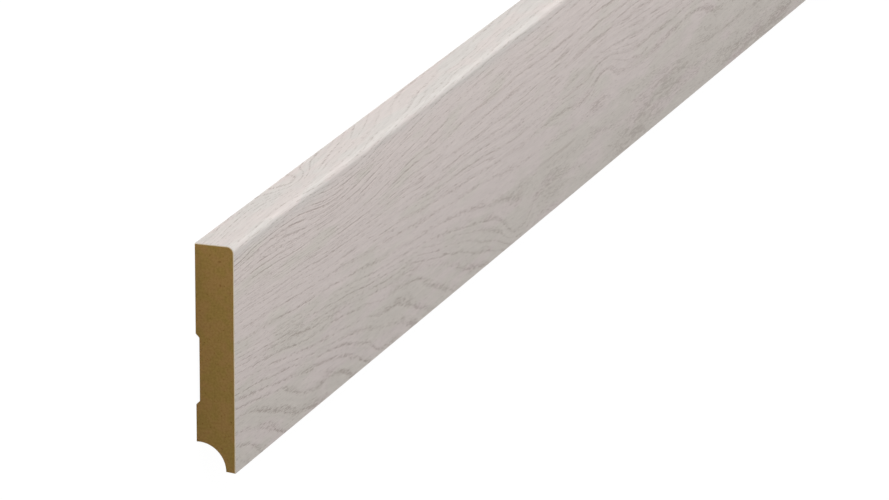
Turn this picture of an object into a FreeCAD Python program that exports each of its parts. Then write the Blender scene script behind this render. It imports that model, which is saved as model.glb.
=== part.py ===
# Skirting board length: a fibreboard strip with a printed foil wrapped over its top edge and its face.
# It lies on its back, face up. X runs along the length, +Y towards the top edge and +Z out of the face.
# The origin is the middle of the length and of the height, on the back plane. Millimetres and degrees.
import FreeCAD, Part
import math
import os
import Sketcher

# alias, value, what it measures
DRIVING_SIZES = [
    ("stock_length", 2400.0, "sawn length that the board is sold in"),
    ("board_height", 80.0, "toe to top edge, over the foil"),
    ("board_thickness", 14.0, "back plane to face, over the foil"),
    ("foil_thickness", 0.3, "printed foil with its glue line"),
    ("nose_radius", 2.5, "rounded top front corner, over the foil"),
    ("toe_slope", 5.0, "undercut of the toe, so that its front arris meets the floor first"),
    ("toe_width", 3.4, "what the cove leaves of the toe, over the foil"),
    ("cove_radius", 9.8, "cable cove at the foot of the back"),
    ("cove_rise", 0.2, "toe to the cove's centre"),
    ("relief_start", 23.2, "toe to the lower edge of the relief channel in the back"),
    ("relief_mouth", 25.0, "height of the relief channel at the back plane"),
    ("relief_depth", 1.3, "depth of the relief channel"),
    ("relief_flank", 45.0, "slope of the channel's two flanks against the back plane"),
]

doc = FreeCAD.newDocument("skirting_board")


def start_of(curve):
    """The start point of a line or an arc, as a sketch constraint names it."""
    return curve, 1


def end_of(curve):
    return curve, 2


def centre_of(arc):
    return arc, 3


def height_axis():
    """The sketch's own horizontal axis, which starts at the toe on the back plane."""
    return -1


def thickness_axis():
    return -2


TOE_CORNER = start_of(height_axis())


def make_size_sheet():
    """Puts the driving sizes in a spreadsheet, with an alias for each."""
    sheet = doc.addObject("Spreadsheet::Sheet", "Sizes")
    for row, (alias, value, note) in enumerate(DRIVING_SIZES, start=1):
        sheet.set(f"A{row}", alias)
        sheet.set(f"B{row}", str(value))
        sheet.set(f"C{row}", note)
        sheet.setAlias(f"B{row}", alias)
    doc.recompute()
    return sheet


def make_body(label):
    """A body drawn from the toe, on the back plane, and placed with the board's middle at the origin."""
    body = doc.addObject("PartDesign::Body", label)
    body.Label = label
    body.setExpression("Placement.Base.y", "-Sizes.board_height / 2")
    return body


def make_section_sketch(body, name):
    """A sketch across the board: the toe is its origin, height runs right and thickness runs up."""
    plane = next(item for item in body.Origin.OriginFeatures if item.Role == "YZ_Plane")
    sketch = body.newObject("Sketcher::SketchObject", name)
    sketch.AttachmentSupport = [(plane, "")]
    sketch.MapMode = "FlatFace"
    return sketch


def add_line(sketch, start, end):
    return sketch.addGeometry(Part.LineSegment(FreeCAD.Vector(*start, 0), FreeCAD.Vector(*end, 0)), False)


def add_quarter_arc(sketch, centre, radius):
    """The quarter of a circle from the height direction round to the thickness direction."""
    circle = Part.Circle(FreeCAD.Vector(*centre, 0), FreeCAD.Vector(0, 0, 1), radius)
    return sketch.addGeometry(Part.ArcOfCircle(circle, 0, math.pi / 2), False)


def relate(sketch, kind, *elements):
    """Adds a geometric constraint, such as Horizontal or Tangent."""
    sketch.addConstraint(Sketcher.Constraint(kind, *elements))


def dimension(sketch, name, kind, elements, guess, formula):
    """Adds a named dimension and binds it to the size sheet."""
    index = sketch.addConstraint(Sketcher.Constraint(kind, *elements, guess))
    sketch.renameConstraint(index, name)
    sketch.setExpression(f"Constraints.{name}", formula)


def pad_along_board(body, sketch, name):
    """Runs a section along the whole stock length, half each way."""
    pad = body.newObject("PartDesign::Pad", name)
    pad.Profile = sketch
    pad.SideType = "Symmetric"
    pad.setExpression("Length", "Sizes.stock_length")
    sketch.Visibility = False
    return pad


def pocket_along_board(body, sketch, name):
    """Mills a section out of the board, through both ends."""
    pocket = body.newObject("PartDesign::Pocket", name)
    pocket.Profile = sketch
    pocket.SideType = "Symmetric"
    pocket.Type = "ThroughAll"
    sketch.Visibility = False
    return pocket


def draw_core_blank(sketch, sizes):
    """The strip before its back is milled: flat back and face, rounded top front corner, undercut toe."""
    top = sizes.board_height - sizes.foil_thickness
    face = sizes.board_thickness - sizes.foil_thickness
    bend_up = sizes.board_height - sizes.nose_radius
    bend_out = sizes.board_thickness - sizes.nose_radius
    undercut = math.tan(math.radians(sizes.toe_slope))
    toe_front = sizes.foil_thickness * undercut
    toe_back = sizes.board_thickness * undercut

    back = add_line(sketch, (toe_back, 0), (top, 0))
    crown = add_line(sketch, (top, 0), (top, bend_out))
    nose = add_quarter_arc(sketch, (bend_up, bend_out), sizes.nose_radius - sizes.foil_thickness)
    front = add_line(sketch, (bend_up, face), (toe_front, face))
    toe = add_line(sketch, (toe_front, face), (toe_back, 0))

    relate(sketch, "Coincident", *end_of(back), *start_of(crown))
    relate(sketch, "Tangent", *end_of(crown), *start_of(nose))
    relate(sketch, "Tangent", *end_of(nose), *start_of(front))
    relate(sketch, "Coincident", *end_of(front), *start_of(toe))
    relate(sketch, "Coincident", *end_of(toe), *start_of(back))
    relate(sketch, "PointOnObject", *start_of(back), height_axis())
    relate(sketch, "Horizontal", back)
    relate(sketch, "Vertical", crown)
    relate(sketch, "Horizontal", front)
    dimension(sketch, "crown_height", "DistanceX", (*TOE_CORNER, *end_of(back)), top,
              "Sizes.board_height - Sizes.foil_thickness")
    dimension(sketch, "face_depth", "DistanceY", (*TOE_CORNER, *end_of(front)), face,
              "Sizes.board_thickness - Sizes.foil_thickness")
    dimension(sketch, "nose_bend", "Radius", (nose,), sizes.nose_radius - sizes.foil_thickness,
              "Sizes.nose_radius - Sizes.foil_thickness")
    dimension(sketch, "toe_front_lift", "DistanceX", (*TOE_CORNER, *start_of(toe)), toe_front,
              "Sizes.foil_thickness * tan(Sizes.toe_slope)")
    dimension(sketch, "toe_back_lift", "DistanceX", (*TOE_CORNER, *end_of(toe)), toe_back,
              "Sizes.board_thickness * tan(Sizes.toe_slope)")


def draw_relief(sketch, sizes):
    """The shallow channel that lets the lands either side of it bear on an uneven wall."""
    low = sizes.relief_start
    high = low + sizes.relief_mouth
    run = sizes.relief_depth / math.tan(math.radians(sizes.relief_flank))
    depth = sizes.relief_depth

    mouth = add_line(sketch, (low, 0), (high, 0))
    upper_flank = add_line(sketch, (high, 0), (high - run, depth))
    floor = add_line(sketch, (high - run, depth), (low + run, depth))
    lower_flank = add_line(sketch, (low + run, depth), (low, 0))

    sides = [mouth, upper_flank, floor, lower_flank]
    for side, following in zip(sides, sides[1:] + sides[:1]):
        relate(sketch, "Coincident", *end_of(side), *start_of(following))
    relate(sketch, "PointOnObject", *start_of(mouth), height_axis())
    relate(sketch, "Horizontal", mouth)
    relate(sketch, "Horizontal", floor)
    dimension(sketch, "channel_start", "DistanceX", (*TOE_CORNER, *start_of(mouth)), low,
              "Sizes.relief_start")
    dimension(sketch, "channel_mouth", "DistanceX", (*start_of(mouth), *end_of(mouth)), sizes.relief_mouth,
              "Sizes.relief_mouth")
    dimension(sketch, "channel_depth", "DistanceY", (*TOE_CORNER, *start_of(floor)), depth,
              "Sizes.relief_depth")
    for name, flank in (("lower_run", lower_flank), ("upper_run", upper_flank)):
        dimension(sketch, name, "DistanceX", (*end_of(flank), *start_of(flank)), run,
                  "Sizes.relief_depth / tan(Sizes.relief_flank)")


def draw_cove(sketch, sizes):
    """The round cutter that takes the foot off the back and leaves the narrow toe."""
    centre_in = sizes.board_thickness - sizes.toe_width - sizes.cove_radius
    centre = FreeCAD.Vector(sizes.cove_rise, centre_in, 0)
    cutter = sketch.addGeometry(Part.Circle(centre, FreeCAD.Vector(0, 0, 1), sizes.cove_radius), False)
    dimension(sketch, "cutter_radius", "Radius", (cutter,), sizes.cove_radius, "Sizes.cove_radius")
    dimension(sketch, "cutter_rise", "DistanceX", (*TOE_CORNER, *centre_of(cutter)), sizes.cove_rise,
              "Sizes.cove_rise")
    dimension(sketch, "cutter_in", "DistanceY", (*TOE_CORNER, *centre_of(cutter)), centre_in,
              "Sizes.board_thickness - Sizes.toe_width - Sizes.cove_radius")


def draw_foil_wrap(sketch, sizes):
    """One even skin: over the top edge, round the nose and down the face, cut flush at both arrises."""
    height, thickness, foil = sizes.board_height, sizes.board_thickness, sizes.foil_thickness
    bend_up = height - sizes.nose_radius
    bend_out = thickness - sizes.nose_radius
    toe_lift = foil * math.tan(math.radians(sizes.toe_slope))

    outer_top = add_line(sketch, (height, 0), (height, bend_out))
    outer_bend = add_quarter_arc(sketch, (bend_up, bend_out), sizes.nose_radius)
    outer_face = add_line(sketch, (bend_up, thickness), (0, thickness))
    toe_edge = add_line(sketch, (0, thickness), (toe_lift, thickness - foil))
    glued_face = add_line(sketch, (toe_lift, thickness - foil), (bend_up, thickness - foil))
    glued_bend = add_quarter_arc(sketch, (bend_up, bend_out), sizes.nose_radius - foil)
    glued_top = add_line(sketch, (height - foil, bend_out), (height - foil, 0))
    back_edge = add_line(sketch, (height - foil, 0), (height, 0))

    relate(sketch, "Tangent", *end_of(outer_top), *start_of(outer_bend))
    relate(sketch, "Tangent", *end_of(outer_bend), *start_of(outer_face))
    relate(sketch, "Coincident", *end_of(outer_face), *start_of(toe_edge))
    relate(sketch, "Coincident", *end_of(toe_edge), *start_of(glued_face))
    relate(sketch, "Tangent", *end_of(glued_face), *end_of(glued_bend))
    relate(sketch, "Tangent", *start_of(glued_bend), *start_of(glued_top))
    relate(sketch, "Coincident", *end_of(glued_top), *start_of(back_edge))
    relate(sketch, "Coincident", *end_of(back_edge), *start_of(outer_top))
    relate(sketch, "Coincident", *centre_of(outer_bend), *centre_of(glued_bend))
    relate(sketch, "PointOnObject", *end_of(back_edge), height_axis())
    relate(sketch, "Horizontal", back_edge)
    relate(sketch, "Vertical", outer_top)
    relate(sketch, "Horizontal", outer_face)
    relate(sketch, "Horizontal", glued_face)
    relate(sketch, "Vertical", glued_top)
    relate(sketch, "PointOnObject", *start_of(toe_edge), thickness_axis())
    dimension(sketch, "wrap_height", "DistanceX", (*TOE_CORNER, *end_of(back_edge)), height,
              "Sizes.board_height")
    dimension(sketch, "wrap_depth", "DistanceY", (*TOE_CORNER, *start_of(toe_edge)), thickness,
              "Sizes.board_thickness")
    dimension(sketch, "outer_radius", "Radius", (outer_bend,), sizes.nose_radius, "Sizes.nose_radius")
    dimension(sketch, "skin", "DistanceX", (*start_of(back_edge), *end_of(back_edge)), foil,
              "Sizes.foil_thickness")
    dimension(sketch, "toe_lift", "DistanceX", (*TOE_CORNER, *start_of(glued_face)), toe_lift,
              "Sizes.foil_thickness * tan(Sizes.toe_slope)")


def make_mdf_core(sizes):
    """The board itself, milled from one strip."""
    core = make_body("mdf_core")
    blank_section = make_section_sketch(core, "core_blank_section")
    draw_core_blank(blank_section, sizes)
    pad_along_board(core, blank_section, "core_blank")
    relief_section = make_section_sketch(core, "relief_section")
    draw_relief(relief_section, sizes)
    pocket_along_board(core, relief_section, "back_relief")
    cove_section = make_section_sketch(core, "cove_section")
    draw_cove(cove_section, sizes)
    pocket_along_board(core, cove_section, "cable_cove")
    return core


def make_decor_foil(sizes):
    """The printed skin that shows from the room."""
    foil = make_body("decor_foil")
    wrap_section = make_section_sketch(foil, "foil_section")
    draw_foil_wrap(wrap_section, sizes)
    pad_along_board(foil, wrap_section, "foil_wrap")
    return foil


def check_document():
    """Stops if a feature failed or a section is loose, because neither raises an error by itself."""
    for item in doc.Objects:
        faults = {"Invalid", "Error"} & set(item.State)
        if faults:
            raise RuntimeError(f"{item.Name} is {', '.join(sorted(faults))}")
        if item.TypeId == "Sketcher::SketchObject" and not item.FullyConstrained:
            raise RuntimeError(f"{item.Name} is not fully constrained")


def export_piece(piece):
    """Writes one piece to its own file and prints what it measures."""
    shape = piece.Shape
    if shape.isNull() or not shape.isValid():
        raise RuntimeError(f"{piece.Label} has no valid shape")
    shape.exportStep(f"parts/{piece.Label}.step")
    box = shape.BoundBox
    print(f"{piece.Label}: {len(shape.Solids)} solid, {shape.Volume / 1000:.1f} cm3, "
          f"{box.XLength:.1f} x {box.YLength:.2f} x {box.ZLength:.2f} mm")


size_sheet = make_size_sheet()
pieces = [make_mdf_core(size_sheet), make_decor_foil(size_sheet)]
doc.recompute()
check_document()
os.makedirs("parts", exist_ok=True)
for piece in pieces:
    export_piece(piece)
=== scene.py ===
import bmesh
import bpy
import math
from mathutils import Matrix, Vector


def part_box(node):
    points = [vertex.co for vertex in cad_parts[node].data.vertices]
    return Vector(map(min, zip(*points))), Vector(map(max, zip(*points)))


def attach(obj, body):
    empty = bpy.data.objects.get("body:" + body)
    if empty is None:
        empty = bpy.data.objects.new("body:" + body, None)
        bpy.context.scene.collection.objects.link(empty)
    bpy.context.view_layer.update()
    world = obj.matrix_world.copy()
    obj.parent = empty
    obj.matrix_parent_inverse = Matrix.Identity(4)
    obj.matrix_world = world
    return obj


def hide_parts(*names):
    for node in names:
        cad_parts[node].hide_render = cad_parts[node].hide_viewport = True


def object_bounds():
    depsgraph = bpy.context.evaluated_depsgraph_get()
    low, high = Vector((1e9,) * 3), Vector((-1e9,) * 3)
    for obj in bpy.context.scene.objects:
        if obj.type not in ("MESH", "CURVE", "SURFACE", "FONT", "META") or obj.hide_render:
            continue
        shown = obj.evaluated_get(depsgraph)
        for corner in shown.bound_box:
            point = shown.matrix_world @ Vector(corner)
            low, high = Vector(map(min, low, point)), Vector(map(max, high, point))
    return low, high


# A foil-wrapped fibreboard skirting length that lies on its back.
# X runs along the board, +Y is its top edge and +Z its printed face.
# The pieces are built in metres, and the print is laid out in millimetres.

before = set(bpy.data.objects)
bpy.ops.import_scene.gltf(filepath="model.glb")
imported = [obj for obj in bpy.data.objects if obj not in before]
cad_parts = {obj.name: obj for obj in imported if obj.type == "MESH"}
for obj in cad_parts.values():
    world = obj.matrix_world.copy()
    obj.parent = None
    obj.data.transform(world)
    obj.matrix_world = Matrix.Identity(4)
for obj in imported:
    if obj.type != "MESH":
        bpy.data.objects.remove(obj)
cadLow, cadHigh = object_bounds()
print("frame loaded:", sorted(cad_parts))

mm = 0.001
nearEnd = cadLow.x
farEnd = cadHigh.x
toeLine = cadLow.y
topLine = cadHigh.y
faceLevel = cadHigh.z

section = {
    "foil": 0.3 * mm,
    "noseRadius": 2.5 * mm,
    "noseSegments": 24,
    "toeSlope": 5,  # degrees
    "reliefStart": 23.2 * mm,
    "reliefMouth": 25 * mm,
    "reliefDepth": 1.3 * mm,
    "coveRadius": 9.8 * mm,
    "coveRise": 0.2 * mm,  # the arc's centre lies this far above the toe line
    "coveIn": 0.8 * mm,  # and this far into the board from its back
    "coveSegments": 160,
    "overrun": 5 * mm,  # how far a cutter passes the board
    "smoothUpTo": 30,  # degrees; faces that meet more flatly shade as one curve
}

touching = 0.01 * mm  # points closer than this are one place
facing = 0.9  # a face looks along an axis when its normal goes this far along it


# shaping

def makeBox(name, low, high):
    bpy.ops.object.select_all(action="DESELECT")
    low, high = Vector(low), Vector(high)
    bpy.ops.mesh.primitive_cube_add(size=1, location=(low + high) / 2, scale=high - low)
    piece = bpy.context.object
    piece.name = name
    bpy.ops.object.transform_apply(location=True, rotation=True, scale=True)
    return piece


def selectOnly(piece):
    bpy.ops.object.select_all(action="DESELECT")
    bpy.context.view_layer.objects.active = piece
    piece.select_set(True)


def pick(piece, kind, isWanted):
    # edit mode with only the wanted edges or faces selected
    bpy.ops.object.mode_set(mode="EDIT")
    bpy.ops.mesh.select_mode(type=kind)
    bpy.ops.mesh.select_all(action="DESELECT")
    shape = bmesh.from_edit_mesh(piece.data)
    shape.normal_update()
    for item in {"EDGE": shape.edges, "FACE": shape.faces}[kind]:
        if isWanted(item):
            item.select = True
    shape.select_flush_mode()
    bmesh.update_edit_mesh(piece.data)


def roundNose(piece, radius):
    # the one edge that runs along the top front corner
    spots = [vert.co for vert in piece.data.vertices]
    corner = Vector((0, max(spot.y for spot in spots), max(spot.z for spot in spots)))
    pick(piece, "EDGE", lambda edge: all((end.co - corner).yz.length < touching for end in edge.verts))
    bpy.ops.mesh.bevel(offset=radius, segments=section["noseSegments"], profile=0.5, affect="EDGES")
    bpy.ops.object.mode_set(mode="OBJECT")


def undercutToe(piece):
    # the toe slopes back from its front arris, which stays
    slope = math.radians(section["toeSlope"])
    pick(piece, "FACE", lambda face: True)
    bpy.ops.mesh.bisect(plane_co=(0, toeLine, faceLevel), plane_no=(0, -math.cos(slope), -math.sin(slope)),
                        use_fill=True, clear_outer=True)
    bpy.ops.object.mode_set(mode="OBJECT")


def millOut(piece, cutter):
    cut = piece.modifiers.new("mill", "BOOLEAN")
    cut.operation = "DIFFERENCE"
    cut.solver = "EXACT"
    cut.object = cutter
    selectOnly(piece)
    bpy.ops.object.modifier_apply(modifier=cut.name)
    bpy.data.objects.remove(cutter)


def smoothCurves(piece):
    # curved strips shade as one, and flat faces keep their own normal
    selectOnly(piece)
    bpy.ops.object.shade_smooth_by_angle(angle=math.radians(section["smoothUpTo"]))
    weigh = piece.modifiers.new("weigh", "WEIGHTED_NORMAL")
    weigh.keep_sharp = True
    bpy.ops.object.modifier_apply(modifier=weigh.name)


# node helpers

def feed(tree, socket, operand):
    # a number or a tuple is set on the socket, and another node's output is linked to it
    if isinstance(operand, (int, float, tuple)):
        socket.default_value = operand
    else:
        tree.links.new(operand, socket)


def calc(tree, operation, *operands):
    node = tree.nodes.new("ShaderNodeMath")
    node.operation = operation
    for socket, operand in zip(node.inputs, operands):
        feed(tree, socket, operand)
    return node.outputs[0]


def calcVector(tree, operation, *operands):
    node = tree.nodes.new("ShaderNodeVectorMath")
    node.operation = operation
    for socket, operand in zip(node.inputs, operands):
        feed(tree, socket, operand)
    return node.outputs["Value" if operation == "DOT_PRODUCT" else "Vector"]


def joinVector(tree, x, y, z):
    node = tree.nodes.new("ShaderNodeCombineXYZ")
    for socket, operand in zip(node.inputs, (x, y, z)):
        feed(tree, socket, operand)
    return node.outputs[0]


def noiseAt(tree, place, size, detail):
    # noise from about 0.25 to 0.75
    node = tree.nodes.new("ShaderNodeTexNoise")
    node.inputs["Scale"].default_value = 1 / size
    node.inputs["Detail"].default_value = detail
    tree.links.new(place, node.inputs["Vector"])
    return node.outputs[0]


def noiseOver(tree, along, across, grainLong, grainWide, seed, detail=1.0):
    # noise of grains that are so long and so wide
    long = calc(tree, "DIVIDE", along, grainLong)
    wide = calc(tree, "DIVIDE", across, grainWide)
    return noiseAt(tree, joinVector(tree, long, wide, seed), 1.0, detail)


def stretch(tree, value, fromLow, fromHigh, toLow=0.0, toHigh=1.0, smooth=False):
    node = tree.nodes.new("ShaderNodeMapRange")
    node.interpolation_type = "SMOOTHSTEP" if smooth else "LINEAR"
    node.clamp = True
    tree.links.new(value, node.inputs["Value"])
    names = ("From Min", "From Max", "To Min", "To Max")
    for name, number in zip(names, (fromLow, fromHigh, toLow, toHigh)):
        node.inputs[name].default_value = number
    return node.outputs[0]


def readCurve(tree, value, points):
    # straight runs between listed points
    low, high = points[0][0], points[-1][0]
    top = max(height for place, height in points)
    node = tree.nodes.new("ShaderNodeFloatCurve")
    curve = node.mapping.curves[0]
    curve.points[0].location = (0, points[0][1] / top)
    curve.points[1].location = (1, points[-1][1] / top)
    for place, height in points[1:-1]:
        curve.points.new((place - low) / (high - low), height / top)
    for point in curve.points:
        point.handle_type = "VECTOR"
    node.mapping.update()
    tree.links.new(stretch(tree, value, low, high), node.inputs["Value"])
    return calc(tree, "MULTIPLY", node.outputs[0], top)


def mixColours(tree, factor, first, second, blend="MIX"):
    node = tree.nodes.new("ShaderNodeMix")
    node.data_type = "RGBA"
    node.blend_type = blend
    for name, operand in (("Factor_Float", factor), ("A_Color", first), ("B_Color", second)):
        socket = next(item for item in node.inputs if item.identifier == name)
        feed(tree, socket, (*operand, 1) if isinstance(operand, tuple) else operand)
    return next(item for item in node.outputs if item.identifier == "Result_Color")


def newMaterial(name, finish):
    material = bpy.data.materials.new(name)
    material.use_nodes = True
    surface = material.node_tree.nodes["Principled BSDF"]
    surface.inputs["Roughness"].default_value = finish["roughness"]
    surface.inputs["Specular IOR Level"].default_value = finish["gloss"]
    return material, surface


def addRelief(material, surface, height, finish):
    tree = material.node_tree
    bump = tree.nodes.new("ShaderNodeBump")
    bump.inputs["Strength"].default_value = finish["reliefStrength"]
    bump.inputs["Distance"].default_value = finish["relief"] * mm
    tree.links.new(height, bump.inputs["Height"])
    tree.links.new(bump.outputs[0], surface.inputs["Normal"])


# the printed oak

# Where the print shows what. A patch is its centre along and across the board, its reach along and across,
# and how much it does at its centre.
figure = {
    "repeat": 1240,  # girth of the print roller
    "lead": 130,  # the repeat starts this far before the near end
    "heartOff": 8,  # the tree's heart lies this far past the toe
    # squared depth of the heart below the face, along one repeat
    "heartDepth": [
        (-130, 260), (-60, 60), (0, 300), (60, 810), (120, 1230), (180, 1690), (240, 2120), (290, 2390),
        (340, 2550), (400, 2740), (480, 2870), (560, 2970), (640, 2970), (760, 2650), (880, 1750),
        (1000, 800), (1110, 260)],
    # the rings swell away from the heart there, and a minus draws them in
    "swells": [
        (50, 74, 45, 17, 5.8), (60, 67, 65, 10, -4.4), (232, 73, 93, 17, 6.2), (454, 82, 253, 41, 29.8),
        (393, 37, 25, 13, 2.1), (500, 32, 29, 11, 2.0), (62, 8, 15, 8, -3.5), (120, 7, 18, 8, -3.2),
        (262, 12, 24, 12, -3.0), (78, 87.5, 20, 6, -8.5), (190, 97, 60, 12, 12.0), (320, 97, 90, 12, 12.0),
        (-5, 92, 28, 6, -4.0)],
    # short places where the rings are pushed towards the heart, and a minus pushes them away
    "nudges": [
        (5, 18, 25, 3, -0.9), (23, 0, 6, 3, 0.7), (48, 3, 12, 4, 0.6), (78, 7, 9, 5, 0.9),
        (110, 8, 14, 7, -0.9), (128, 14, 8, 6, -0.7), (142, 3, 12, 5, 1.1), (170, 19, 22, 8, -1.5),
        (232, 4, 28, 7, 1.0), (294, 8, 20, 12, 2.3), (286, 5, 16, 6, 1.5), (326, 35, 38, 4, -0.8),
        (391, 35.5, 12, 6.5, -1.6), (402, 44, 8, 3, -0.3), (495, 33, 42, 7, -1.2), (436, 45, 12, 3, 0.4)],
    # distance of each ring from the heart
    "rings": [
        15, 18.5, 21.5, 24.5, 28.1, 31.7, 35.4, 37.8, 39.9, 41.5, 43.4, 46, 48.3, 49.7, 51.1, 52.4, 53.5,
        55.8, 59.3, 61.8, 64.1, 65.6, 66.8, 68, 69.8, 71.4, 72.6, 73.7, 75.8, 77.2, 78.6, 80.3, 81.4, 82.5,
        83.4, 84.4, 85.5],
    "outerRing": 2.0,  # width of the rings past those
    "outermost": 120,
    # how dark the rings are printed, by distance from the heart
    "depthOfPrint": [
        (15, 0.85), (33, 0.82), (37, 0.78), (47, 0.65), (50, 0.78), (53, 0.55), (56, 0.95), (59, 0.65),
        (62, 0.75), (65, 0.75), (68, 0.7), (71.4, 1.1), (74, 0.85), (76, 1.3), (81.4, 1.5), (86, 1.35),
        (91, 0.9), (97, 1.3), (120, 1.3)],
    # paler print, and darker with a minus
    "palePatches": [
        (455, 6, 165, 26, 0.9), (210, 70, 120, 13, 0.45), (60, 66, 60, 12, 0.12), (352, 26, 34, 3.5, 0.6),
        (325, 18, 35, 3.5, 0.7), (330, 34, 40, 3, 0.3), (445, 33, 34, 3, -0.7), (285, 52, 100, 10, 0.25),
        (350, 68, 60, 9, 0.4), (200, 30, 110, 9, 0.22), (78, 14, 22, 3, -0.8), (112, 24, 15, 2, 0.4),
        (80, 90, 50, 8, -0.6), (360, 91, 60, 10, 0.35), (465, 50, 45, 8, 0.4), (528, 29, 26, 5, -1.6)],
    # crowded with pores, and short of them with a minus
    "porePatches": [
        (430, 7, 22, 4, 0.6), (462, 12, 42, 7, 0.62), (472, 16.5, 36, 4, 0.5), (492, 11, 16, 4, 0.4),
        (595, 2.5, 60, 3.5, 1.0), (330, 11, 14, 7, 0.7), (384, 28, 11, 3.5, 0.7), (425, 2, 26, 5, 0.7),
        (52, 33, 34, 4, 0.5), (100, 28, 22, 4, 0.4), (172, 22, 18, 3, 0.5), (238, 25, 12, 3, 0.5),
        (285, 18, 20, 5, 0.3), (575, 9, 50, 11, 0.35), (250, 30, 45, 9, -0.3), (30, 68, 35, 8, 0.25)],
    # more ashen, and rosier with a minus
    "ashenPatches": [
        (90, 31, 65, 6, 0.13), (215, 26, 22, 8, 0.10), (255, 36, 70, 13, -0.12), (290, 13, 40, 5, 0.08),
        (355, 15, 50, 7, 0.10), (60, 48, 90, 6, -0.08), (570, 26, 75, 20, 0.14), (170, 91, 50, 7, -0.07),
        (50, 91, 55, 7, 0.04), (255, 91, 16, 7, 0.05)],
    # stray dark lines
    "strayStreaks": [
        (345, 20.8, 10, 0.5, 1.3), (328, 21.4, 14, 0.4, 0.7), (524, 17.3, 9, 0.4, 0.8),
        (547, 16.9, 13, 0.4, 0.9), (422, 33.2, 12, 0.8, 0.4), (446, 31.8, 14, 0.8, 0.4),
        (257, 63.0, 22, 0.4, 0.9), (233, 61.8, 14, 0.4, 0.5)],
    "crown": (72, 80),  # up this stretch a painted sheen fades the print and a darker copy of the wood paints shade, and both stay so over the top edge
    # how much the painted sheen pales the print over the crown
    "crownPaintedSheen": 0.45,
    "poreWash": 0.2,  # a crowded place is a little darker between its pores too
    "ashenDrift": -0.0032,  # the print turns rosier away from the toe
}

# The finer grain. A noise is the length and the width of its grains and a seed, with its detail where that
# is more than 1, and a range is what it is stretched from and to.
grain = {
    "middle": 0.5,  # of every noise
    "calmFrom": (22, 50),  # up this stretch of the face the grain grows straighter, and its dashes join up
    "crownCalm": -0.8,  # and over the crown it is loose again
    "wander": (42, 9, 1.7),
    "wanderReach": 3.6,
    "wanderCalmed": -1.8,
    "tremble": (9, 3.5, 8.1),
    "trembleReach": 0.9,
    "trembleCalmed": -0.7,
    "growth": (26, 1.6, 3.3),  # uneven widths between rings
    "growthReach": 0.35,
    "ringInner": (-0.16, -0.02),  # a ring starts sharply on the heart's side
    "ringOuter": (0.02, 0.26, 1.0, 0.0),  # and fades outwards
    "ringFade": 1.4,
    "bands": (26, 0.37, 6.7),  # here and there a ring spreads into a band of short strokes
    "bandsRange": (0.46, 0.62, 1.0, 0.4),
    "uneven": (45, 0.37, 5.9),  # each ring prints darker and paler along its way
    "unevenRange": (0.34, 0.62, 0.3, 1.15),
    "hairs": (60, 1.1, 17.2),
    "hairSway": 1.2,
    "hairsPerRing": 2.4,
    "hairEdge": (0.02, 0.16, 1.0, 0.0),  # a hairline's darkness by the distance from its middle
    "hairsFrom": (55, 68),  # distance from the heart past which the rings stand close
    "hairBreaks": (24, 0.8, 19.4),
    "hairBreaksRange": (0.40, 0.60),
    # the share of hairlines that the painted sheen takes out over the crown
    "crownSheenHairLoss": 0.65,
    "dashes": (3.8, 0.38, 11.3),
    "finerDashes": (2.4, 0.26, 14.9),
    "dashShare": 0.5,  # of each of the two
    "brokenRange": (0.44, 0.57, 0.08, 1.5),
    "threads": (22, 0.42, 24.6),
    "threadsRange": (0.44, 0.57, 0.3, 1.35),
    "threadShare": 0.8,
    "clumps": (12, 1.4, 9.6),
    "clumpsRange": (0.40, 0.60, 0.15, 1.45),
    "poreBar": 0.59,  # a pore shows where the dashes rise over this bar
    "crownBar": 0.04,  # over the crown a painted sheen raises the bar, so fewer pores show
    "crowdBar": -0.15,  # and in the rings and the crowded places it is lower
    "poreEdge": (0.0, 0.08),
    "fibres": (30, 0.75, 21.1, 2.0),
    "fibreShare": 0.7,
    "finerFibres": (9, 0.28, 27.7),
    "finerFibreShare": 1.4,
    "fibreMiddle": 1.05,
    "clouds": (36, 8, 31.3, 2.0),
}


def bellOver(tree, spot, patch):
    # 1 at the patch's centre, falling off over its reach
    away = calcVector(tree, "SUBTRACT", spot, (patch[0], patch[1], 0))
    away = calcVector(tree, "DIVIDE", away, (patch[2], patch[3], 1))
    return calc(tree, "EXPONENT", calc(tree, "MULTIPLY", calcVector(tree, "DOT_PRODUCT", away, away), -1))


def addPatches(tree, value, spot, patches, sign=1):
    for patch in patches:
        value = calc(tree, "MULTIPLY_ADD", bellOver(tree, spot, patch), sign * patch[4], value)
    return value


def centredNoise(tree, along, across, name):
    return calc(tree, "SUBTRACT", noiseOver(tree, along, across, *grain[name]), grain["middle"])


def mottle(tree, along, across, name):
    return stretch(tree, noiseOver(tree, along, across, *grain[name]), *grain[name + "Range"])


def reachFromHeart(tree, spot, along, across, placed, calm):
    # distance from the tree's heart, with an uneven growth
    height = calc(tree, "ADD", across, figure["heartOff"])
    for name in ("wander", "tremble"):
        swing = calc(tree, "MULTIPLY_ADD", calm, grain[name + "Calmed"], grain[name + "Reach"])
        height = calc(tree, "MULTIPLY_ADD", centredNoise(tree, along, across, name), swing, height)
    height = addPatches(tree, height, spot, figure["swells"], -1)
    depth = readCurve(tree, placed, figure["heartDepth"])
    reach = calc(tree, "SQRT", calc(tree, "MULTIPLY_ADD", height, height, depth))
    return addPatches(tree, reach, spot, figure["nudges"])


def countRings(tree, along, reach):
    # a whole number on each ring, and a fraction between two rings
    rings = figure["rings"]
    outer = (figure["outermost"] - rings[-1]) / figure["outerRing"]
    points = [(radius, number) for number, radius in enumerate(rings)]
    points.append((figure["outermost"], points[-1][1] + outer))
    count = readCurve(tree, reach, points)
    growth = centredNoise(tree, along, reach, "growth")
    return calc(tree, "MULTIPLY_ADD", growth, grain["growthReach"], count)


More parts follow.
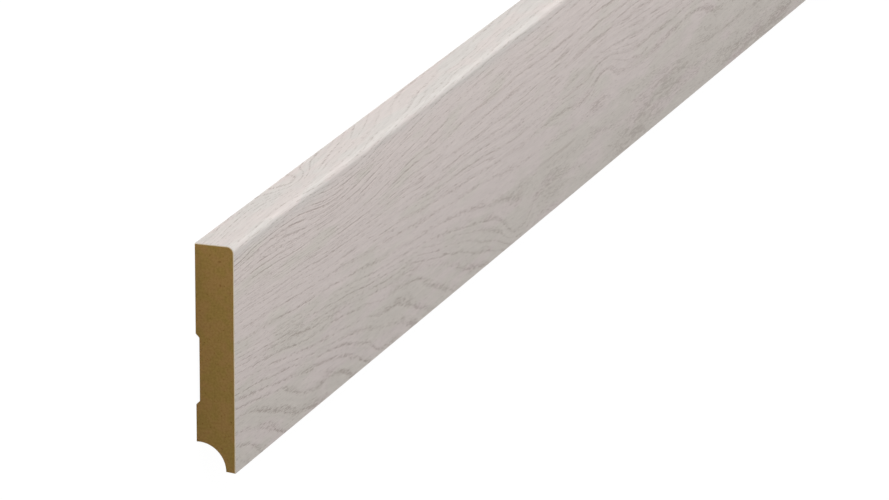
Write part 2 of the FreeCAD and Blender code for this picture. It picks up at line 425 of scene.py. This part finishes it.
def drawRings(tree, along, reach, count, calm):
    nearest = calc(tree, "ROUND", count)
    offset = calc(tree, "SUBTRACT", count, nearest)
    inner = stretch(tree, offset, *grain["ringInner"])
    slim = mottle(tree, along, nearest, "bands")
    slim = calc(tree, "MULTIPLY_ADD", calc(tree, "SUBTRACT", 1.0, slim), calm, slim)
    outer = stretch(tree, calc(tree, "MULTIPLY", offset, slim), *grain["ringOuter"])
    line = calc(tree, "MULTIPLY", inner, calc(tree, "POWER", outer, grain["ringFade"]))
    line = calc(tree, "MULTIPLY", line, readCurve(tree, reach, figure["depthOfPrint"]))
    return calc(tree, "MULTIPLY", line, mottle(tree, along, nearest, "uneven"))


def drawHairlines(tree, along, reach, count, crown):
    # fine lines between the rings, where these stand close. Each lies halfway between two whole numbers
    number = calc(tree, "MULTIPLY_ADD", noiseOver(tree, along, reach, *grain["hairs"]), grain["hairSway"],
                  calc(tree, "MULTIPLY", count, grain["hairsPerRing"]))
    away = calc(tree, "ABSOLUTE", calc(tree, "SUBTRACT", calc(tree, "FRACT", number), 0.5))
    close = stretch(tree, reach, *grain["hairsFrom"])
    hair = calc(tree, "MULTIPLY", stretch(tree, away, *grain["hairEdge"]), close)
    hair = calc(tree, "MULTIPLY", hair, mottle(tree, along, reach, "hairBreaks"))
    # the painted sheen over the crown takes most hairlines out
    lost = calc(tree, "MULTIPLY", crown, grain["crownSheenHairLoss"])
    return calc(tree, "MULTIPLY", hair, calc(tree, "SUBTRACT", 1.0, lost))


def drawDashes(tree, along, across):
    # short dashes along the board: the stuff of the pores
    dash = calc(tree, "MULTIPLY", noiseOver(tree, along, across, *grain["dashes"]), grain["dashShare"])
    finer = noiseOver(tree, along, across, *grain["finerDashes"])
    return calc(tree, "MULTIPLY_ADD", finer, grain["dashShare"], dash)


def breakUp(tree, along, reach, dashes, calm):
    # what breaks a ring up: dashes low on the face, and long threads where the grain is calm
    broken = stretch(tree, dashes, *grain["brokenRange"])
    threads = mottle(tree, along, reach, "threads")
    share = calc(tree, "MULTIPLY", calm, grain["threadShare"])
    return calc(tree, "MULTIPLY_ADD", calc(tree, "SUBTRACT", threads, broken), share, broken)


def strengthOfPrint(tree, spot, crown):
    # the painted sheen pales the print over the crown
    strength = calc(tree, "MULTIPLY_ADD", crown, -figure["crownPaintedSheen"], 1.0)
    for patch in figure["palePatches"]:
        kept = calc(tree, "MULTIPLY_ADD", bellOver(tree, spot, patch), -patch[4], 1.0)
        strength = calc(tree, "MULTIPLY", strength, kept)
    return strength


def drawPores(tree, dashes, crowd, crown):
    # a painted sheen over the crown raises the bar
    bar = calc(tree, "MULTIPLY_ADD", crown, grain["crownBar"], grain["poreBar"])
    bar = calc(tree, "MULTIPLY_ADD", crowd, grain["crowdBar"], bar)
    return stretch(tree, calc(tree, "SUBTRACT", dashes, bar), *grain["poreEdge"])


def drawFibres(tree, along, across, reach):
    finer = noiseOver(tree, along, across, *grain["finerFibres"])
    fibre = calc(tree, "MULTIPLY_ADD", noiseOver(tree, along, reach, *grain["fibres"]), grain["fibreShare"],
                 calc(tree, "MULTIPLY", finer, grain["finerFibreShare"]))
    return calc(tree, "SUBTRACT", fibre, grain["fibreMiddle"])


def drawClouds(tree, spot, along, across):
    clouds = noiseOver(tree, along, across, *grain["clouds"])
    clouds = calc(tree, "MULTIPLY_ADD", across, figure["ashenDrift"], clouds)
    return addPatches(tree, clouds, spot, figure["ashenPatches"])


def makeOakFigure():
    tree = bpy.data.node_groups.new("oakFigure", "ShaderNodeTree")
    for name in ("Along", "Across"):
        tree.interface.new_socket(name, in_out="INPUT", socket_type="NodeSocketFloat")
    for name in ("Rings", "Pores", "Fibre", "Cloud", "Crown"):
        tree.interface.new_socket(name, in_out="OUTPUT", socket_type="NodeSocketFloat")
    begin = tree.nodes.new("NodeGroupInput")
    finish = tree.nodes.new("NodeGroupOutput")
    along, across = begin.outputs["Along"], begin.outputs["Across"]

    # where the place lies in its repeat of the print
    led = calc(tree, "ADD", along, figure["lead"])
    placed = calc(tree, "SUBTRACT", calc(tree, "FLOORED_MODULO", led, figure["repeat"]), figure["lead"])
    spot = joinVector(tree, placed, across, 0)
    crown = stretch(tree, across, *figure["crown"], smooth=True)
    calm = calc(tree, "MULTIPLY_ADD", crown, grain["crownCalm"], stretch(tree, across, *grain["calmFrom"]))

    reach = reachFromHeart(tree, spot, along, across, placed, calm)
    count = countRings(tree, along, reach)
    rings = drawRings(tree, along, reach, count, calm)
    hairlines = drawHairlines(tree, along, reach, count, crown)
    dashes = drawDashes(tree, along, across)
    line = calc(tree, "MULTIPLY", calc(tree, "MAXIMUM", rings, hairlines),
                breakUp(tree, along, reach, dashes, calm))
    line = calc(tree, "MULTIPLY", line, strengthOfPrint(tree, spot, crown))

    # pores stand in the rings and in the crowded places
    crowding = addPatches(tree, 0, spot, figure["porePatches"])
    crowd = calc(tree, "MULTIPLY_ADD", crowding, mottle(tree, along, across, "clumps"), line)
    line = calc(tree, "MULTIPLY_ADD", crowding, figure["poreWash"], line)
    line = addPatches(tree, line, spot, figure["strayStreaks"])

    tree.links.new(line, finish.inputs["Rings"])
    tree.links.new(drawPores(tree, dashes, crowd, crown), finish.inputs["Pores"])
    tree.links.new(drawFibres(tree, along, across, reach), finish.inputs["Fibre"])
    tree.links.new(drawClouds(tree, spot, along, across), finish.inputs["Cloud"])
    tree.links.new(crown, finish.inputs["Crown"])
    return tree


oak = {
    "rosyWood": (0.598, 0.533, 0.509),
    "ashenWood": (0.564, 0.520, 0.478),
    "woodTint": (0.31, 0.54),  # cloud values over which the wood turns from rosy to ashen
    # darker copies of the wood for the crown: painted shade that offsets the light on the top edge and the
    # nose
    "rosyShadedCrown": (0.561, 0.511, 0.487),
    "ashenShadedCrown": (0.545, 0.516, 0.490),
    "crownTint": (0.14, 0.27),
    "ringTone": (0.835, 0.81, 0.80),
    "poreTone": (0.81, 0.79, 0.78),
    "fibreDepth": 0.18,
    "roughness": 0.5,
    "gloss": 0.14,
    "relief": 0.05,  # millimetres that rings and pores are pressed in
    "reliefStrength": 0.6,
}


def makeOakFoil():
    material, surface = newMaterial("oakFoil", oak)
    tree = material.node_tree
    wrap = tree.nodes.new("ShaderNodeUVMap")
    wrap.uv_map = "wrap"
    parts = tree.nodes.new("ShaderNodeSeparateXYZ")
    tree.links.new(wrap.outputs[0], parts.inputs[0])
    group = tree.nodes.new("ShaderNodeGroup")
    group.node_tree = makeOakFigure()
    group.name = "oakFigure"
    for name, length in zip(("Along", "Across"), parts.outputs):
        tree.links.new(calc(tree, "DIVIDE", length, mm), group.inputs[name])
    rings, pores, fibre, cloud, crown = group.outputs

    tint = stretch(tree, cloud, *oak["woodTint"], smooth=True)
    wood = mixColours(tree, tint, oak["rosyWood"], oak["ashenWood"])
    # over the crown a darker copy of the wood takes over: painted shade against the light falling on the
    # top edge and the nose
    tint = stretch(tree, cloud, *oak["crownTint"], smooth=True)
    shadedCrownWood = mixColours(tree, tint, oak["rosyShadedCrown"], oak["ashenShadedCrown"])
    wood = mixColours(tree, crown, wood, shadedCrownWood)
    wood = mixColours(tree, rings, wood, oak["ringTone"], "MULTIPLY")
    wood = mixColours(tree, pores, wood, oak["poreTone"], "MULTIPLY")
    shade = calc(tree, "MULTIPLY_ADD", fibre, oak["fibreDepth"], 1.0)
    wood = mixColours(tree, 1.0, wood, joinVector(tree, shade, shade, shade), "MULTIPLY")
    tree.links.new(wood, surface.inputs["Base Color"])
    pressed = calc(tree, "ADD", pores, rings)
    addRelief(material, surface, calc(tree, "SUBTRACT", 1.0, pressed), oak)
    return material


# the foil's cut edge: pale paper over a line of glue

foilEdge = {
    "paper": (0.66, 0.56, 0.40),
    "roughness": 0.7,
    "gloss": 0.2,
}


def makeFoilEdge():
    material, surface = newMaterial("foilEdge", foilEdge)
    surface.inputs["Base Color"].default_value = (*foilEdge["paper"], 1)
    return material


# the raw fibreboard

board = {
    "mean": (0.282, 0.174, 0.051),
    "dark": (0.90, 0.89, 0.88),
    "pale": (1.08, 1.08, 1.10),
    "toneRange": (0.385, 0.615),
    "greener": (0.97, 1.01, 0.92),
    "redder": (1.03, 0.985, 1.06),
    "hueRange": (0.4, 0.6),
    "chip": 0.8,  # this and the other sizes are millimetres
    "chipDetail": 3,
    "chipShare": 0.8,
    "blotch": 4.5,
    "blotchDetail": 2,
    "blotchShare": 0.2,
    "speck": (0.76, 0.67, 0.62),
    "speckSize": 1.2,
    "speckDetail": 2,
    "speckBar": (0.64, 0.72),  # only the peaks of the noise show as specks
    "roughness": 0.9,
    "gloss": 0.1,
    "relief": 0.05,
    "reliefStrength": 0.4,
}


def makeRawFibreboard():
    material, surface = newMaterial("rawFibreboard", board)
    tree = material.node_tree
    place = tree.nodes.new("ShaderNodeTexCoord")
    spot = calcVector(tree, "SCALE", place.outputs["Object"])
    spot.node.inputs["Scale"].default_value = 1 / mm
    chips = noiseAt(tree, spot, board["chip"], board["chipDetail"])
    blotches = noiseAt(tree, spot, board["blotch"], board["blotchDetail"])
    specks = noiseAt(tree, spot, board["speckSize"], board["speckDetail"])

    speckle = calc(tree, "MULTIPLY_ADD", blotches, board["blotchShare"],
                   calc(tree, "MULTIPLY", chips, board["chipShare"]))
    tone = mixColours(tree, stretch(tree, speckle, *board["toneRange"]), board["dark"], board["pale"])
    hue = mixColours(tree, stretch(tree, blotches, *board["hueRange"]), board["greener"], board["redder"])
    wood = mixColours(tree, 1.0, board["mean"], tone, "MULTIPLY")
    wood = mixColours(tree, 1.0, wood, hue, "MULTIPLY")
    peaks = stretch(tree, specks, *board["speckBar"])
    wood = mixColours(tree, peaks, wood, board["speck"], "MULTIPLY")
    tree.links.new(wood, surface.inputs["Base Color"])
    addRelief(material, surface, chips, board)
    return material


# fibreboard core

def makeCore():
    low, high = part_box("mdf_core")
    core = makeBox("mdfCore", (nearEnd, toeLine, low[2]), (farEnd, high[1], high[2]))
    roundNose(core, section["noseRadius"] - section["foil"])
    undercutToe(core)

    # the relief channel's cutter: a bar whose upper face is drawn in, which slopes its flanks by 45 degrees
    start = toeLine + section["reliefStart"]
    over = section["overrun"]
    mouth = section["reliefMouth"] + 2 * over
    width = section["reliefMouth"] - 2 * section["reliefDepth"]
    channel = makeBox("channel", (nearEnd - over, start - over, -over),
                      (farEnd + over, start - over + mouth, section["reliefDepth"]))
    pick(channel, "FACE", lambda face: face.normal.z > facing)
    bpy.ops.transform.resize(value=(1, width / mouth, 1))
    bpy.ops.object.mode_set(mode="OBJECT")
    millOut(core, channel)

    # the cable cove's cutter: a long cylinder along the back bottom corner
    bpy.ops.object.select_all(action="DESELECT")
    bpy.ops.mesh.primitive_cylinder_add(
        vertices=section["coveSegments"], radius=section["coveRadius"], depth=farEnd - nearEnd + 2 * over,
        location=(0, toeLine + section["coveRise"], section["coveIn"]), rotation=(0, math.radians(90), 0))
    cutter = bpy.context.object
    bpy.ops.object.transform_apply(location=True, rotation=True, scale=True)
    millOut(core, cutter)
    smoothCurves(core)

    core.data.materials.append(makeRawFibreboard())
    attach(core, "root")
    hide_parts("mdf_core")
    return core


# wrapped foil

def girthAt(y, z):
    # distance from the toe's arris, up the face, round the nose and over the top edge
    radius = section["noseRadius"]
    up = y - (topLine - radius)
    out = z - (faceLevel - radius)
    face = topLine - radius - toeLine
    if up <= 0:
        return face + up
    if out <= 0:
        return face + radius * math.pi / 2 - out
    return face + radius * math.atan2(up, out)


def makeFoil():
    foil = makeBox("decorFoil", (nearEnd, toeLine, 0), (farEnd, topLine, faceLevel))
    roundNose(foil, section["noseRadius"])
    # only the face, the nose and the top edge are kept
    pick(foil, "FACE", lambda face: abs(face.normal.x) > facing or min(face.normal.yz) < -facing)
    bpy.ops.mesh.delete(type="FACE")
    bpy.ops.object.mode_set(mode="OBJECT")
    paper = foil.modifiers.new("paper", "SOLIDIFY")
    paper.thickness = section["foil"]
    paper.offset = -1
    paper.use_even_offset = True
    bpy.ops.object.modifier_apply(modifier=paper.name)
    # the undercut would take less than 0.03 mm off so thin an edge, so the foil's toe stays square
    smoothCurves(foil)

    wrap = foil.data.uv_layers.new(name="wrap")
    for loop in foil.data.loops:
        place = foil.data.vertices[loop.vertex_index].co
        wrap.data[loop.index].uv = (place.x - nearEnd, girthAt(place.y, place.z))

    foil.data.materials.append(makeOakFoil())
    foil.data.materials.append(makeFoilEdge())
    for face in foil.data.polygons:
        atEnd = abs(face.normal.x) > facing
        atToe = face.normal.y < -facing and face.center.y < toeLine + mm
        atBack = face.normal.z < -facing and face.center.z < touching
        face.material_index = 1 if atEnd or atToe or atBack else 0
    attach(foil, "root")
    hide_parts("decor_foil")
    return foil


core = makeCore()
print("fibreboard core:", len(core.data.polygons), "faces")
foil = makeFoil()
print("wrapped foil:", len(foil.data.polygons), "faces")


# camera

# turned a quarter about its own axis, so that the lying board shows upright as in the photograph
view = {
    "place": Vector((-3.4833, 0.7841, 0.9062)),
    "forward": Vector((0.90079, -0.29092, -0.32241)),
    "up": Vector((0.27398, 0.95675, -0.09783)),
    "lens": 309.8,
    "sensor": 36,
    "nearest": 0.1,
    "farthest": 200,
}


def makeCamera():
    data = bpy.data.cameras.new("photoCamera")
    data.sensor_width = view["sensor"]
    data.lens = view["lens"]
    data.clip_start = view["nearest"]
    data.clip_end = view["farthest"]
    camera = bpy.data.objects.new("photoCamera", data)
    bpy.context.scene.collection.objects.link(camera)
    back = -view["forward"].normalized()
    right = view["up"].cross(back).normalized()
    up = back.cross(right)
    turn = Matrix((right, up, back)).transposed()
    camera.matrix_world = Matrix.Translation(view["place"]) @ turn.to_4x4()
    bpy.context.scene.camera = camera


makeCamera()
print("camera placed")


# floor, world and lamps

light = {
    "ambient": 0.36,
    "white": 1.0,
    "sunFrom": (-0.10, 0.70, 0.70),
    "sunStrength": 0.2,
    "sunAngle": 50,  # degrees, for soft shadows
    "boxPlace": (-0.3, 0.212, 0.16),
    "boxAim": (-0.3, 0.0, 0.0),
    "boxSize": (3.2, 0.12),
    "boxPower": 3.85,
    "floorLit": 0.06,
    "floorGlow": 0.98,  # the floor glows by itself, and shows only a faint shadow
    "floorPlain": 0.8,  # the grey that the object is lit by
    "floorSize": 300,
}


def whiteToEye(tree, shader, mix, white):
    # the plain shader lights the object; camera, mirrors and glass see the white one
    path = tree.nodes.new("ShaderNodeLightPath")
    seen = calc(tree, "MAXIMUM", path.outputs["Is Camera Ray"], path.outputs["Is Glossy Ray"])
    seen = calc(tree, "MAXIMUM", seen, path.outputs["Is Transmission Ray"])
    for operand, socket in zip((seen, shader, white), mix.inputs):
        tree.links.new(operand, socket)


def makeWorld():
    world = bpy.data.worlds.new("studio")
    bpy.context.scene.world = world
    world.use_nodes = True
    tree = world.node_tree
    tree.nodes.clear()
    out = tree.nodes.new("ShaderNodeOutputWorld")
    mix = tree.nodes.new("ShaderNodeMixShader")
    soft = tree.nodes.new("ShaderNodeBackground")
    white = tree.nodes.new("ShaderNodeBackground")
    for sky, strength in ((soft, light["ambient"]), (white, light["white"])):
        sky.inputs["Color"].default_value = (1, 1, 1, 1)
        sky.inputs["Strength"].default_value = strength
    whiteToEye(tree, soft.outputs[0], mix, white.outputs[0])
    tree.links.new(mix.outputs[0], out.inputs["Surface"])


def hangLamp(name, kind, place, direction):
    lamp = bpy.data.objects.new(name, bpy.data.lights.new(name, kind))
    bpy.context.scene.collection.objects.link(lamp)
    lamp.location = place
    lamp.rotation_mode = "QUATERNION"
    lamp.rotation_quaternion = direction.to_track_quat("Z", "Y")
    return lamp


def makeLamps():
    sun = hangLamp("softSun", "SUN", (0, 0, 0), Vector(light["sunFrom"]))
    sun.data.energy = light["sunStrength"]
    sun.data.angle = math.radians(light["sunAngle"])

    place = Vector(light["boxPlace"])
    softbox = hangLamp("topSoftbox", "AREA", place, place - Vector(light["boxAim"]))
    softbox.data.shape = "RECTANGLE"
    softbox.data.size, softbox.data.size_y = light["boxSize"]
    softbox.data.energy = light["boxPower"]
    softbox.visible_camera = False


def makeFloor():
    material = bpy.data.materials.new("paleFloor")
    material.use_nodes = True
    tree = material.node_tree
    tree.nodes.clear()
    out = tree.nodes.new("ShaderNodeOutputMaterial")
    lit = tree.nodes.new("ShaderNodeBsdfDiffuse")
    glow = tree.nodes.new("ShaderNodeEmission")
    both = tree.nodes.new("ShaderNodeAddShader")
    plain = tree.nodes.new("ShaderNodeBsdfDiffuse")
    mix = tree.nodes.new("ShaderNodeMixShader")
    for grey, name in ((lit, "floorLit"), (plain, "floorPlain")):
        grey.inputs["Color"].default_value = (light[name],) * 3 + (1,)
    glow.inputs["Strength"].default_value = light["floorGlow"]
    tree.links.new(lit.outputs[0], both.inputs[0])
    tree.links.new(glow.outputs[0], both.inputs[1])
    whiteToEye(tree, plain.outputs[0], mix, both.outputs[0])
    tree.links.new(mix.outputs[0], out.inputs["Surface"])
    bpy.ops.object.select_all(action="DESELECT")
    bpy.ops.mesh.primitive_plane_add(size=light["floorSize"], location=(0, 0, 0))
    floor = bpy.context.object
    floor.name = "paleFloor"
    floor.data.materials.append(material)


makeWorld()
makeLamps()
makeFloor()
print("studio ready")

bpy.context.scene.view_settings.view_transform = "Standard"
